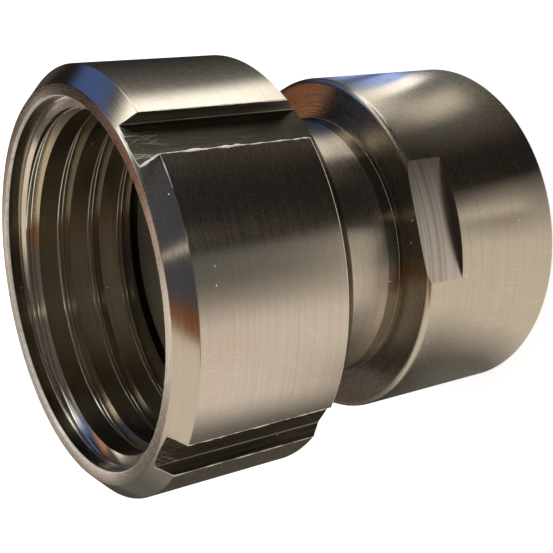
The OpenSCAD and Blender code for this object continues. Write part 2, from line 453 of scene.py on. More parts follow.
def made_by(tree, name, values):
    """The plain mesh object that a tree makes with the values of its named inputs."""
    maker = bpy.data.objects.new(name, bpy.data.meshes.new(name))
    bpy.context.scene.collection.objects.link(maker)
    modifier = maker.modifiers.new("Tree", "NODES")
    modifier.node_group = tree
    for socket in tree.interface.items_tree:
        if socket.in_out == "INPUT" and socket.name in values:
            modifier[socket.identifier] = values[socket.name]
    return flattened(maker)


def flattened(piece):
    """Makes an object's evaluated shape its plain mesh and removes its modifiers."""
    graph = bpy.context.evaluated_depsgraph_get()
    mesh = bpy.data.meshes.new_from_object(piece.evaluated_get(graph))
    old = piece.data
    piece.modifiers.clear()
    piece.data = mesh
    mesh.name = piece.name
    if old.users == 0:
        bpy.data.meshes.remove(old)
    return piece


def combine(piece, other, operation):
    """Cuts another solid out of a piece or adds it. Its faces keep their material."""
    modifier = piece.modifiers.new("Combine", "BOOLEAN")
    modifier.operation = operation
    modifier.solver = "EXACT"
    modifier.object = other
    modifier.material_mode = "TRANSFER"
    flattened(piece)
    bpy.data.objects.remove(other)


def with_outward_faces(piece):
    """Merges doubles and turns the faces of a closed cutter outwards."""
    form = bmesh.new()
    form.from_mesh(piece.data)
    bmesh.ops.remove_doubles(form, verts=form.verts, dist=0.0005 * MM)
    bmesh.ops.recalc_face_normals(form, faces=form.faces)
    form.to_mesh(piece.data)
    form.free()
    return piece


def groove_section(depth, flat, flank, root_round, over):
    """Section of a thread's groove: the root is at x = 0 and the opening at negative x."""
    slope = math.tan(flank)
    side = [
        (0.0, flat / 2, root_round),
        (depth + over, flat / 2 + (depth + over) * slope, 0.0),
    ]
    mirrored = [(x, -y, *rest) for x, y, *rest in reversed(side)]
    return [(-x, y) for x, y in eased(side + mirrored, steps=3)]


def helix(name, outline, radius, pitch, low, high, start_angle, steps, material):
    """A closed solid swept from an outline along a right-hand helix between two heights."""
    section = outline_curve(name + "_section", outline)
    swept = made_by(helix_tree(), name, {
        "Section": section, "Radius": radius, "Pitch": pitch,
        "Turns": (high - low) / pitch, "Start Height": low, "Start Angle": start_angle,
        "Steps": steps, "Material": material,
    })
    bpy.data.objects.remove(section)
    return with_outward_faces(swept)


def painted(piece, materials, choose):
    """Gives each face the material that a rule picks by its radius, height and outward lean."""
    for material in materials:
        piece.data.materials.append(material)
    for face in piece.data.polygons:
        radius = math.hypot(face.center.x, face.center.y)
        outward = (face.center.x * face.normal.x + face.center.y * face.normal.y) / radius
        face.material_index = materials.index(choose(radius, face.center.z, outward))


def joined(name, pieces):
    """One object from the meshes of several that share their materials."""
    form = bmesh.new()
    for piece in pieces:
        form.from_mesh(piece.data)
    whole = object_from(name, form)
    for material in pieces[0].data.materials:
        whole.data.materials.append(material)
    for piece in pieces:
        bpy.data.objects.remove(piece)
    return whole


def smooth(piece, degrees=28):
    """Shades a mesh smooth and keeps the edges that turn by more than an angle sharp."""
    piece.data.shade_smooth()
    piece.data.set_sharp_from_angle(angle=math.radians(degrees))


def dressed(piece, body, cad_node):
    """Says what a finished piece rides on and stands for."""
    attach(piece, body)
    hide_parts(cad_node)


# Shader groups and materials

def shader_group(name, inputs, outputs):
    """A shader group with named sockets. Gives the tree and its input and output nodes."""
    tree = bpy.data.node_groups.new(name, "ShaderNodeTree")
    for label, value in inputs:
        socket = tree.interface.new_socket(name=label, in_out="INPUT", socket_type="NodeSocketFloat")
        socket.default_value = value
    for label in outputs:
        tree.interface.new_socket(name=label, in_out="OUTPUT", socket_type="NodeSocketFloat")
    return tree, tree.nodes.new("NodeGroupInput"), tree.nodes.new("NodeGroupOutput")


def on_object(tree):
    """The place of each point on its object."""
    return node(tree, "ShaderNodeTexCoord").outputs["Object"]


def tool_marks_group():
    """Marks that a tool leaves: fine lines, stretched by two scales across and along them."""
    tree, entry, exit_node = shader_group(
        "Tool marks", [("Across", 4000.0), ("Along", 60.0), ("Turned", 1.0), ("Facing", -0.62)],
        ["Lines", "Bands"])
    x, y, z = node(tree, "ShaderNodeSeparateXYZ", {0: on_object(tree)}).outputs
    radius = maths(tree, "SQRT", maths(tree, "ADD", maths(tree, "MULTIPLY", x, x),
                                       maths(tree, "MULTIPLY", y, y)))
    feed = maths(tree, "MULTIPLY_ADD", radius, entry.outputs["Facing"], z)
    turned = maths(tree, "MULTIPLY", feed, entry.outputs["Across"])
    around_x = maths(tree, "MULTIPLY", x, entry.outputs["Along"])
    around_y = maths(tree, "MULTIPLY", y, entry.outputs["Along"])
    rings = node(tree, "ShaderNodeCombineXYZ", {"X": around_x, "Y": around_y, "Z": turned})
    across_x = maths(tree, "MULTIPLY", x, entry.outputs["Across"])
    across_y = maths(tree, "MULTIPLY", y, entry.outputs["Across"])
    along_z = maths(tree, "MULTIPLY", z, entry.outputs["Along"])
    strokes = node(tree, "ShaderNodeCombineXYZ", {"X": across_x, "Y": across_y, "Z": along_z})
    chosen = node(tree, "ShaderNodeMix", {
        "Factor": entry.outputs["Turned"], 4: strokes.outputs[0], 5: rings.outputs[0],
    }, data_type="VECTOR")
    lines = noise(tree, chosen.outputs[1], 1.0, 3.0, roughness=0.6)
    wide = noise(tree, chosen.outputs[1], 0.17, 2.0)
    tree.links.new(lines.outputs[0], exit_node.inputs["Lines"])
    tree.links.new(wide.outputs[0], exit_node.inputs["Bands"])
    return tree


def handling_group():
    """Marks of handling: soft patches, a fine mottle and a few specks."""
    tree, entry, exit_node = shader_group(
        "Handling", [("Patch Scale", 60.0), ("Mottle Scale", 800.0), ("Speck Scale", 1000.0),
                     ("Speck Size", 0.11)],
        ["Patches", "Mottle", "Specks"])
    place = on_object(tree)
    patches = noise(tree, place, entry.outputs["Patch Scale"], 3.0, roughness=0.6)
    mottle = noise(tree, place, entry.outputs["Mottle Scale"], 5.0, roughness=0.65)
    cells = node(tree, "ShaderNodeTexVoronoi", {
        "Vector": place, "Scale": entry.outputs["Speck Scale"]})
    colour = node(tree, "ShaderNodeSeparateColor", {0: cells.outputs["Color"]})
    rarity = 0.988
    rare = maths(tree, "GREATER_THAN", colour.outputs[0], rarity)
    near = maths(tree, "LESS_THAN", cells.outputs["Distance"], entry.outputs["Speck Size"])
    tree.links.new(patches.outputs[0], exit_node.inputs["Patches"])
    tree.links.new(mottle.outputs[0], exit_node.inputs["Mottle"])
    tree.links.new(maths(tree, "MULTIPLY", rare, near), exit_node.inputs["Specks"])
    return tree


def scratches_group():
    """Fine scratches in four directions, drawn round the axis and along it."""
    tree, entry, exit_node = shader_group(
        "Scratches", [("Across", 3600.0), ("Along", 130.0), ("Rarity", 0.7), ("Radius", 0.032)],
        ["Scratches"])
    x, y, z = node(tree, "ShaderNodeSeparateXYZ", {0: on_object(tree)}).outputs
    around = maths(tree, "MULTIPLY", maths(tree, "ARCTAN2", y, x), entry.outputs["Radius"])
    noise_slice = 0.37
    unrolled = node(tree, "ShaderNodeCombineXYZ", {"X": around, "Y": z, "Z": noise_slice}).outputs[0]
    scale = node(tree, "ShaderNodeCombineXYZ", {
        "X": entry.outputs["Across"], "Y": entry.outputs["Along"], "Z": 1.0})
    total = 0.0
    for tilt in (0.0, 0.14, -0.35, 0.7):
        turned = node(tree, "ShaderNodeVectorRotate", {"Vector": unrolled, "Angle": tilt},
                      rotation_type="Z_AXIS")
        drawn = node(tree, "ShaderNodeVectorMath", {0: turned.outputs[0], 1: scale.outputs[0]},
                     operation="MULTIPLY")
        grain = noise(tree, drawn.outputs[0], 1.0, 0.0)
        line = maths(tree, "GREATER_THAN", grain.outputs[0], entry.outputs["Rarity"])
        total = maths(tree, "MAXIMUM", total, line)
    tree.links.new(total, exit_node.inputs["Scratches"])
    return tree


def grouped(tree, name, maker, **values):
    """A group's node in a tree, with values for its inputs. The group itself is made once."""
    group = bpy.data.node_groups.get(name) or maker()
    return node(tree, "ShaderNodeGroup", values, node_tree=group)


def bare_material(name):
    """A new material with an empty tree. Gives both."""
    material = bpy.data.materials.new(name)
    material.use_nodes = True
    tree = material.node_tree
    tree.nodes.clear()
    return material, tree


def surface(tree, shader, kind="ShaderNodeOutputMaterial"):
    """Ends a material's or the world's tree in its surface."""
    output = tree.nodes.new(kind)
    tree.links.new(shader.outputs[0], output.inputs["Surface"])


def new_material(name):
    """A material with a shader of its own. Gives it, its tree and its shader."""
    material, tree = bare_material(name)
    shader = tree.nodes.new("ShaderNodeBsdfPrincipled")
    surface(tree, shader)
    return material, tree, shader


def toned(colour, *factors):
    """A colour times one factor, or times one for each of its three values."""
    return tuple(c * f for c, f in zip(colour, factors if len(factors) > 1 else factors * 3))


def spread(tree, value, low, high):
    """Maps a value from about 0.3 to 0.7 onto a range."""
    return node(tree, "ShaderNodeMapRange", {
        "Value": value, "From Min": 0.3, "From Max": 0.7, "To Min": low, "To Max": high}).outputs[0]


def tint(tree, colour, shade, factor):
    """A colour, given or from a socket, that goes towards another shade by a factor."""
    first = colour if isinstance(colour, bpy.types.NodeSocket) else (*colour, 1.0)
    mixed = node(tree, "ShaderNodeMix", {0: factor, 6: first, 7: (*shade, 1.0)}, data_type="RGBA")
    return mixed.outputs[2]


# Scales of a tool's marks across and along them, and one for rings or zero for strokes along the axis
FINE_RINGS = (5200.0, 45.0, 1.0)
LONG_RINGS = (5200.0, 20.0, 1.0)
CROSS_STROKES = (2800.0, 20.0, 1.0)
AXIAL_STROKES = (2400.0, 70.0, 0.0)

# Colours of a fresh scratch and of a speck of dust, and the factors that make a patch rosier
SCRATCH = (0.9, 0.87, 0.8)
SPECK = (0.9, 0.88, 0.84)
ROSIER = (1.0, 0.955, 0.94)


def steel(name, colour, shade, streak, strokes, roughness, anisotropy, depth, mottled):
    """Machined steel that goes towards a shade in streaks, with strokes as deep as given."""
    material, tree, shader = new_material(name)
    across, along, turned = strokes
    marks = grouped(tree, "Tool marks", tool_marks_group, Across=across, Along=along, Turned=turned)
    wear = grouped(tree, "Handling", handling_group)
    lines, bands = marks.outputs
    patches, mottle, specks = wear.outputs
    patched = tint(tree, colour, toned(colour, *ROSIER), spread(tree, patches, 0.0, 1.0))
    mean = maths(tree, "MULTIPLY_ADD", maths(tree, "ADD", lines, bands), 0.5, 0.0)
    streaked = tint(tree, patched, shade, spread(tree, mean, 0.0, streak))
    tree.links.new(tint(tree, streaked, SPECK, specks), shader.inputs["Base Color"])
    tree.links.new(maths(tree, "SUBTRACT", 1.0, specks), shader.inputs["Metallic"])
    uneven = 0.04
    cloudy = 0.08
    rough = maths(tree, "ADD", spread(tree, lines, roughness - uneven, roughness + uneven),
                  spread(tree, mottle, -cloudy * mottled, cloudy * mottled))
    tree.links.new(rough, shader.inputs["Roughness"])
    strokes_high = maths(tree, "MULTIPLY_ADD", bands, 0.4, lines)
    height = maths(tree, "MULTIPLY_ADD", mottle, mottled, strokes_high)
    bump = node(tree, "ShaderNodeBump", {"Height": height, "Strength": 1.0, "Distance": depth})
    tree.links.new(bump.outputs[0], shader.inputs["Normal"])
    shader.inputs["Anisotropic"].default_value = anisotropy
    shader.inputs["Anisotropic Rotation"].default_value = 0.25 if turned else 0.0
    tangent = node(tree, "ShaderNodeTangent", {}, direction_type="RADIAL", axis="Z")
    tree.links.new(tangent.outputs[0], shader.inputs["Tangent"])
    return material


def between_heights(tree, low, high, least, most):
    """A value that rises from the least to the most between two heights."""
    height = node(tree, "ShaderNodeSeparateXYZ", {0: on_object(tree)}).outputs["Z"]
    return node(tree, "ShaderNodeMapRange", {
        "Value": height, "From Min": low, "From Max": high, "To Min": least, "To Max": most}).outputs[0]


def overlaid(material, factor, colour):
    """Mixes a colour over a finished steel's own by a value of its tree."""
    tree = material.node_tree
    shader = tree.nodes["Principled BSDF"]
    base = shader.inputs["Base Color"].links[0].from_socket
    tree.links.new(tint(tree, base, colour, factor), shader.inputs["Base Color"])
    return material


def scratches(tree, strength, rarity):
    """The value that draws fine scratches as strongly as a number or a value says."""
    marks = grouped(tree, "Scratches", scratches_group, Rarity=rarity)
    return maths(tree, "MULTIPLY", marks.outputs[0], strength)


def lathe_steel(colours):
    """Steel as it comes off the lathe, with fine rings and a few scratches."""
    material = steel(
        "lathe_steel", colours.steel, toned(colours.steel, 0.75), streak=0.3, strokes=FINE_RINGS,
        roughness=0.27, anisotropy=0.9, depth=0.0025 * MM, mottled=0.15)
    return overlaid(material, scratches(material.node_tree, strength=0.16, rarity=0.78), SCRATCH)


def chamfer_steel(colours):
    """Smoother turned steel of the nut's front chamfer."""
    return steel(
        "chamfer_steel", colours.steel, toned(colours.steel, 0.75), streak=0.3, strokes=FINE_RINGS,
        roughness=0.17, anisotropy=0.8, depth=0.0015 * MM, mottled=0.1)


def stained_steel(colours):
    """Turned steel of the sleeve's shoulder face, darker with stains and with painted shade under the
    nut.
    """
    return steel(
        "stained_steel", toned(colours.steel, 0.64, 0.61, 0.58), toned(colours.steel, 0.4), streak=0.6,
        strokes=FINE_RINGS, roughness=0.27, anisotropy=0.9, depth=0.0025 * MM, mottled=0.3)


def groove_steel(colours):
    """Smooth steel of the coarse thread's groove, with painted light on its first turn near the mouth."""
    material = steel(
        "groove_steel", colours.groove, toned(colours.groove, 0.7), streak=0.4, strokes=LONG_RINGS,
        roughness=0.2, anisotropy=0.85, depth=0.001 * MM, mottled=0.1)
    # Painted light: towards the mouth the groove goes towards the near-white highlight colour
    dull = NUT_HIGH.z - 10.5 * MM
    bright = NUT_HIGH.z - 8.5 * MM
    factor = between_heights(material.node_tree, dull, bright, 0.0, 0.85)
    return overlaid(material, factor, colours.burr)


def crest_steel(colours):
    """Darker, browner copy of the groove's steel for the thread's flat crests, as painted shade inside
    the bore.
    """
    return steel(
        "crest_steel", toned(colours.groove, 0.85, 0.78, 0.67), toned(colours.groove, 0.5), streak=0.8,
        strokes=LONG_RINGS, roughness=0.23, anisotropy=0.85, depth=0.001 * MM, mottled=0.1)


def bored_steel(colours):
    """Smooth steel of the counterbore, the nut's rear and the foot of the neck, darkened as painted
    shade.
    """
    return steel(
        "bored_steel", colours.bored, toned(colours.bored, 0.5), streak=0.6, strokes=LONG_RINGS,
        roughness=0.2, anisotropy=0.85, depth=0.001 * MM, mottled=0.1)


def slot_steel(colours):
    """Steel of the slots' floors, darkened near black as painted shade: strokes along the axis, and
    scratches towards the mouth.
    """
    material = steel(
        "slot_steel", colours.slot, colours.stroke, streak=0.45, strokes=AXIAL_STROKES,
        roughness=0.45, anisotropy=0.4, depth=0.006 * MM, mottled=0.4)
    tree = material.node_tree
    faint = NUT_HIGH.z - 7 * MM
    strong = NUT_HIGH.z - 1 * MM
    strength = between_heights(tree, faint, strong, 0.04, 0.4)
    return overlaid(material, scratches(tree, strength, rarity=0.74), SCRATCH)


def wall_steel(colours):
    """Steel of the slots' side walls, with streaks along the axis that go towards the slots' painted
    shade.
    """
    return steel(
        "wall_steel", colours.steel, colours.slot, streak=1.0, strokes=AXIAL_STROKES,
        roughness=0.35, anisotropy=0.4, depth=0.004 * MM, mottled=0.3)


def end_steel(colours):
    """Steel of the end walls of the spanner flats, darkened as painted shade in the step at each flat's
    end.
    """
    return steel(
        "end_steel", colours.stroke, colours.slot, streak=1.0, strokes=CROSS_STROKES,
        roughness=0.4, anisotropy=0.0, depth=0.004 * MM, mottled=0.1)


def flat_steel(colours):
    """Steel of the spanner flats, with straight strokes across the axis."""
    return steel(
        "flat_steel", colours.flat, toned(colours.flat, 0.3), streak=0.9, strokes=CROSS_STROKES,
        roughness=0.38, anisotropy=0.0, depth=0.004 * MM, mottled=0.1)


def bright_steel(colours):
    """Near-white steel of the burrs and of thin lines along edges, as painted highlight."""
    material, tree, shader = new_material("bright_steel")
    wear = grouped(tree, "Handling", handling_group)
    dulled = spread(tree, wear.outputs["Mottle"], 0.0, 0.8)
    colour = tint(tree, colours.burr, toned(colours.burr, 0.5), dulled)
    tree.links.new(colour, shader.inputs["Base Color"])
    tree.links.new(spread(tree, wear.outputs["Mottle"], 0.25, 0.45), shader.inputs["Roughness"])
    shader.inputs["Metallic"].default_value = 0.25
    return material


def made_once(maker, colours):
    """A finish, made when it is first asked for and shared after that."""
    return bpy.data.materials.get(maker.__name__) or maker(colours)


def gasket_rubber(colours):
    """Dark olive rubber with a fine grain and a dusty bloom."""
    material, tree, shader = new_material("gasket_rubber")
    grain = noise(tree, on_object(tree), 2600.0, 4.0, roughness=0.7)
    wear = grouped(tree, "Handling", handling_group)
    dusty = spread(tree, wear.outputs["Patches"], 0.0, 0.5)
    colour = tint(tree, colours.rubber, toned(colours.rubber, 1.7), dusty)
    tree.links.new(colour, shader.inputs["Base Color"])
    tree.links.new(spread(tree, grain.outputs[0], 0.5, 0.66), shader.inputs["Roughness"])
    bump = node(tree, "ShaderNodeBump", {"Height": grain.outputs[0], "Distance": 0.03 * MM})
    tree.links.new(bump.outputs[0], shader.inputs["Normal"])
    return material


# Pieces

class ADAPTER_OT_union_nut(bpy.types.Operator):
    """Make the union nut with its slots and coarse thread"""

    bl_idname = "adapter.union_nut"
    bl_label = "Union Nut"

    def execute(self, context):
        scene = context.scene
        s = scene.adapter_nut
        mesh = scene.adapter_mesh
        root = s.crest + s.thread_depth
        relief = root + s.relief
        lip_top = s.rear + s.lip
        relief_top = lip_top + s.relief_len
        bore_floor = s.mouth - s.counterbore_len
        hole = scene.adapter_liner.neck + s.lip_clearance
        rim = s.radius - s.front_chamfer_r
        mouth_round = 0.12 * MM
        lead_round = 0.08 * MM
        nut = turned_form("nut_body", eased([
            (hole + s.lip_chamfer, s.rear, CRISP),
            (s.radius - s.rear_chamfer, s.rear, s.edge_round),
            (s.radius, s.rear + s.rear_chamfer, s.edge_round),
            (s.radius, s.mouth - s.front_chamfer_z, s.edge_round),
            (rim, s.mouth, s.edge_round),
            (relief + s.mouth_break_r, s.mouth, mouth_round),
            (relief, s.mouth - s.mouth_break_z, CRISP),
            (relief, bore_floor, mouth_round),
            (s.crest + s.lead_r, bore_floor, lead_round),
            (s.crest, bore_floor - s.lead_len, lead_round),
            (s.crest, relief_top, SOFT),
            (relief, relief_top, SOFT),
            (relief, lip_top, SOFT),
            (hole + s.lip_chamfer, lip_top, CRISP),
            (hole, lip_top - s.lip_chamfer, CRISP),
            (hole, s.rear + s.lip_chamfer, CRISP),
        ]), mesh.around)
        colours = scene.adapter_colours
        finishes = [made_once(maker, colours) for maker in (
            lathe_steel, bored_steel, bright_steel, groove_steel, chamfer_steel, crest_steel)]
        outside, bored, bright, grooved, chamfered, crests = finishes
        thin = 0.06 * MM

        def finish(radius, z, outward):
            # Painted shade on the nut's rear face and rear chamfer, which face the shoulder
            if z < s.rear + s.rear_chamfer - 2 * thin:
                return bored
            # Painted highlights: thin bright lines on the rounding at the rear chamfer's edge and on the
            # mouth's broken inner edge
            if z < s.rear + s.rear_chamfer + 2 * thin and outward > 0:
                return bright
            if radius < relief + s.mouth_break_r + thin and z > s.mouth - s.mouth_break_z - thin:
                return bright
            if outward > LEANING and z > s.mouth - s.front_chamfer_z + thin:
                return chamfered
            if outward > -STRAIGHT:
                return outside
            if z < relief_top:
                return grooved
            # Painted shade: the counterbore and the thread's crests inside the bore take darker steel
            return bored if z > bore_floor else crests

        painted(nut, finishes, finish)
        combine(nut, self.thread(s, mesh, root, relief_top, bore_floor, grooved), "DIFFERENCE")
        combine(nut, self.bead(s, mesh, relief_top, bore_floor, grooved), "UNION")
        combine(nut, self.slots(s, slot_steel(colours), wall_steel(colours)), "DIFFERENCE")
        nut.name = "union_nut_steel"
        smooth(nut)
        dressed(nut, "nut", "union_nut")
        return {"FINISHED"}

    def thread(self, s, mesh, root, relief_top, bore_floor, material):
        """The coarse thread's groove, from the relief out into the counterbore."""
        over = 0.25 * MM
        section = groove_section(s.thread_depth, s.root_flat, s.flank, s.root_round, over)
        half = s.root_flat / 2 + s.thread_depth * math.tan(s.flank) + over
        first = s.mouth - s.start_depth
        low = relief_top - half
        high = bore_floor + half
        start = self.start(s, first, low)
        return helix("nut_groove", section, root, s.pitch, low, high, start, mesh.turn_steps, material)

    def bead(self, s, mesh, relief_top, bore_floor, material):
        """The fine eight-sided bead that the tool raised along the crest's inner edge."""
        section = arc((0.0, 0.0), s.crest_bead, 0, 315, steps=7)
        edge = s.root_flat / 2 + s.thread_depth * math.tan(s.flank)
        first = s.mouth - s.start_depth + edge
        low = relief_top + s.crest_bead
        high = bore_floor - s.lead_len - s.crest_bead
        radius = s.crest + s.crest_bead / 4
        start = self.start(s, first, low)
        return helix("nut_bead", section, radius, s.pitch, low, high, start, mesh.turn_steps, material)

    def start(self, s, first, low):
        """The angle at which a helix has to start low, so that it is first at the start angle."""
        turns_back = (first - low) / s.pitch
        return s.start_angle - math.tau * turns_back

    def slots(self, s, darkened, wall):
        """Four cutters for the spanner slots, with rounded floor corners and other side walls."""
        floor = s.radius - s.slot_depth
        half = s.slot_width / 2
        over = 1 * MM
        out = s.radius + over
        outline = eased([(out, -half), (out, half), (floor, half, s.slot_round),
                         (floor, -half, s.slot_round)])
        form = bmesh.new()
        low = [form.verts.new((x, y, s.rear - over)) for x, y in outline]
        high = [form.verts.new((x, y, s.mouth + over)) for x, y in outline]
        count = len(outline)
        form.faces.new(low)
        form.faces.new(high)
        for i in range(count):
            j = (i + 1) % count
            form.faces.new((low[i], low[j], high[j], high[i]))
        cutter = object_from("slot_cutter", form)
        slots = made_by(slots_tree(), "nut_slots", {
            "Cutter": cutter, "First Angle": s.slot_angle, "Spacing": s.slot_spacing,
            "Material": darkened,
        })
        bpy.data.objects.remove(cutter)
        slots.data.materials.clear()
        # The floors take the slots' painted shade, and the walls a lighter steel streaked towards it
        painted(slots, [darkened, wall],
                lambda radius, z, outward: wall if abs(outward) < LEANING else darkened)
        return with_outward_faces(slots)


class ADAPTER_OT_slot_burrs(bpy.types.Operator):
    """Make the torn bright burrs along the edges of the slots"""

    bl_idname = "adapter.slot_burrs"
    bl_label = "Slot Burrs"

    def execute(self, context):
        s = context.scene.adapter_nut
        # The burrs are real, and their near-white steel is a painted highlight
        material = made_once(bright_steel, context.scene.adapter_colours)
        tree = burr_tree()
        slots = [s.slot_angle + s.slot_spacing * second + math.pi * opposite
                 for opposite in (0, 1) for second in (0, 1)]
        light = [self.side(s, angle, side) for angle in slots for side in (-1, 1)]
        light.append(self.corner(s, slots[1]))
        heavy = [self.side(s, slots[1], -1), self.front(s, slots[1])]
        beads = []
        kinds = (("light", light, 0.5 * s.burr, 0.08 * MM), ("heavy", heavy, 1.2 * s.burr, 0.3 * MM))
        for name, lines, thickness, wander in kinds:
            edges = line_curve(name + "_edges", lines)
            beads.append(made_by(tree, name + "_burrs", {
                "Edge": edges, "Thickness": thickness, "Wander": wander, "Material": material}))
            bpy.data.objects.remove(edges)
        burrs = joined("slot_burrs", beads)
        smooth(burrs, degrees=50)
        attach(burrs, "nut")
        return {"FINISHED"}

    def at(self, s, angle, x, y):
        """A point on the nut's turned outside, in a slot's own x and y."""
        radius = math.hypot(x, y)
        slope = s.front_chamfer_z / s.front_chamfer_r
        inside = max(radius - (s.radius - s.front_chamfer_r), 0.0)
        z = s.mouth - inside * slope
        return (x * math.cos(angle) - y * math.sin(angle),
                x * math.sin(angle) + y * math.cos(angle), z)

    def side(self, s, angle, side):
        """One long edge of a slot, and down the front chamfer to its floor."""
        y = side * s.slot_width / 2
        top = math.sqrt(s.radius ** 2 - y ** 2)
        floor = s.radius - s.slot_depth
        corner = self.at(s, angle, top, y)
        low = (corner[0], corner[1], s.rear + s.rear_chamfer)
        return [low, corner, self.at(s, angle, floor, y)]

    def front(self, s, angle):
        """The front edge of a slot's floor."""
        floor = s.radius - s.slot_depth
        half = s.slot_width / 2
        steps = 8
        return [self.at(s, angle, floor, half * (2 * i / steps - 1)) for i in range(steps + 1)]

    def corner(self, s, angle):
        """A short stretch of the chamfer's outer edge beside a slot."""
        first = angle - math.asin(s.slot_width / 2 / s.radius)
        reach = math.radians(9)
        steps = 8
        turns = [first - reach * i / steps for i in range(steps + 1)]
        height = s.mouth - s.front_chamfer_z
        return [(s.radius * math.cos(a), s.radius * math.sin(a), height) for a in turns]


class ADAPTER_OT_liner(bpy.types.Operator):
    """Make the liner with its neck, seam collar and flange"""

    bl_idname = "adapter.liner"
    bl_label = "Liner"

    def execute(self, context):
        scene = context.scene
        s = scene.adapter_liner
        shoulder = scene.adapter_sleeve.shoulder
        collar = s.neck + s.collar
        collar_top = shoulder + s.collar_width
        flare_round = (s.flare ** 2 + s.collar ** 2) / (2 * s.collar)
        sweep = math.degrees(math.asin(s.flare / flare_round))
        centre = (s.neck + flare_round, collar_top + s.flare)
        flare = arc(centre, flare_round, 180 + sweep, 180, steps=12)
        flange_rear = s.high - s.flange_thick
        collar_round = 0.24 * MM
        bore_round = 0.25 * MM
        outline = eased([
            (s.bore, s.low, SOFT),
            (s.spigot, s.low, SOFT),
            (s.spigot, shoulder),
            (collar, shoulder),
            (collar, collar_top, collar_round),
            *flare[1:],
            (s.neck, flange_rear, s.fillet),
            (s.flange, flange_rear, SOFT),
            (s.flange, s.high, SOFT),
            (s.bore, s.high, bore_round),
        ])
        liner = turned_form("liner_steel", outline, scene.adapter_mesh.around)
        colours = scene.adapter_colours
        finishes = [made_once(maker, colours) for maker in (lathe_steel, bored_steel, bright_steel)]
        turned, shaded, bright = finishes
        edge_low = collar_top - 0.22 * MM
        edge_high = collar_top + 0.05 * MM

        def finish(radius, z, outward):
            # Painted highlight: a thin bright line on the collar's top edge
            if outward > 0 and edge_low < z < edge_high:
                return bright
            # Painted shade on the collar and the lower flare at the foot of the neck, under the nut
            return shaded if outward > 0 and shoulder < z < collar_top + s.flare / 2 else turned

        painted(liner, finishes, finish)
        smooth(liner)
        dressed(liner, "fitting", "liner")
        return {"FINISHED"}


class ADAPTER_OT_sleeve(bpy.types.Operator):
    """Make the sleeve with its spanner flats and pipe thread"""

    bl_idname = "adapter.sleeve"
    bl_label = "Sleeve"

    def execute(self, context):
        scene = context.scene
        s = scene.adapter_sleeve
        mesh = scene.adapter_mesh
        root = s.crest + s.thread_depth
        spigot_end = scene.adapter_liner.low
        web_low = spigot_end - s.web
        relief_low = web_low - s.relief_len
        sleeve = turned_form("sleeve_steel", eased([
            (root + s.countersink, 0.0, CRISP),
            (s.radius - s.rear_chamfer, 0.0, CRISP),
            (s.radius, s.rear_chamfer, SOFT),
            (s.radius, s.shoulder, s.shoulder_round),
            (s.socket, s.shoulder),
            (s.socket, spigot_end),
            (s.bore, spigot_end),
            (s.bore, web_low, SOFT),
            (root + s.relief, web_low, SOFT),
            (root + s.relief, relief_low, CRISP),
            (s.crest, relief_low),
            (s.crest, s.thread_depth + s.countersink),
        ], steps=6), mesh.around)
        colours = scene.adapter_colours
        turned = made_once(lathe_steel, colours)
        # The shoulder face under the nut takes steel with stains and painted shade
        darkened = made_once(stained_steel, colours)
        face_low = s.shoulder - 0.02 * MM
        painted(sleeve, [turned, darkened],
                lambda radius, z, outward: darkened if z > face_low and radius > s.socket else turned)
        combine(sleeve, self.thread(s, mesh, root, relief_low, turned), "DIFFERENCE")
        # Each flat's floor takes the milled steel, and its end wall the painted shade
        finishes = (made_once(flat_steel, colours), made_once(end_steel, colours))
        for side in (0.0, math.pi):
            combine(sleeve, self.flat(s, side, finishes), "DIFFERENCE")
        smooth(sleeve, degrees=17)
        dressed(sleeve, "fitting", "sleeve")
        return {"FINISHED"}

    def thread(self, s, mesh, root, relief_low, material):
        """The pipe thread's groove, from below the rear end up into the relief."""
        over = 0.15 * MM
        root_round = 0.12 * MM
        section = groove_section(s.thread_depth, s.root_flat, s.flank, root_round, over)
        low = -s.pitch
        high = relief_low + s.pitch
        steps = mesh.turn_steps // 2
        return helix("pipe_groove", section, root, s.pitch, low, high, 0.0, steps, material)

    def flat(self, s, side, finishes):
        """The cutter of one spanner flat. Its floor has one finish and its end wall the other."""
        form = bmesh.new()
        bmesh.ops.create_cube(form, size=1.0)
        reach = 10 * MM
        over = 1 * MM
        height = s.flat_len + over
        grow = Matrix.Diagonal((reach, 2 * s.radius, height, 1.0))
        place = Matrix.Translation((s.flat + reach / 2, 0.0, s.shoulder - s.flat_len + height / 2))
        spin = Matrix.Rotation(s.flat_angle + side, 4, "Z")
        bmesh.ops.transform(form, matrix=spin @ place @ grow, verts=form.verts)
        cutter = object_from("flat_cutter", form)
        for material in finishes:
            cutter.data.materials.append(material)
        for face in cutter.data.polygons:
            face.material_index = 1 if face.normal.z < -LEANING else 0
        return cutter


class ADAPTER_OT_gasket(bpy.types.Operator):
    """Make the flat gasket"""

    bl_idname = "adapter.gasket"
    bl_label = "Gasket"

    def execute(self, context):
        scene = context.scene
        s = scene.adapter_gasket
        hole = s.radius - s.width
        gasket = turned_form("gasket_ring", eased([
            (hole, s.low), (s.radius, s.low), (s.radius, s.high, s.edge), (hole, s.high, s.edge),
        ]), scene.adapter_mesh.around)
        gasket.data.materials.append(gasket_rubber(scene.adapter_colours))
        smooth(gasket)
        dressed(gasket, "fitting", "gasket")
        return {"FINISHED"}


# Stage

# Camera fitted to the photograph, which shows the axis across the picture
CAMERA_AT = Vector((166.84, 12.25, 144.05)) * MM
CAMERA_BACK = Vector((0.84239, 0.08312, 0.53241))
CAMERA_UP = Vector((0.0, 0.98803, -0.15426))
CAMERA_LENS = 72.52
SENSOR = 36.0

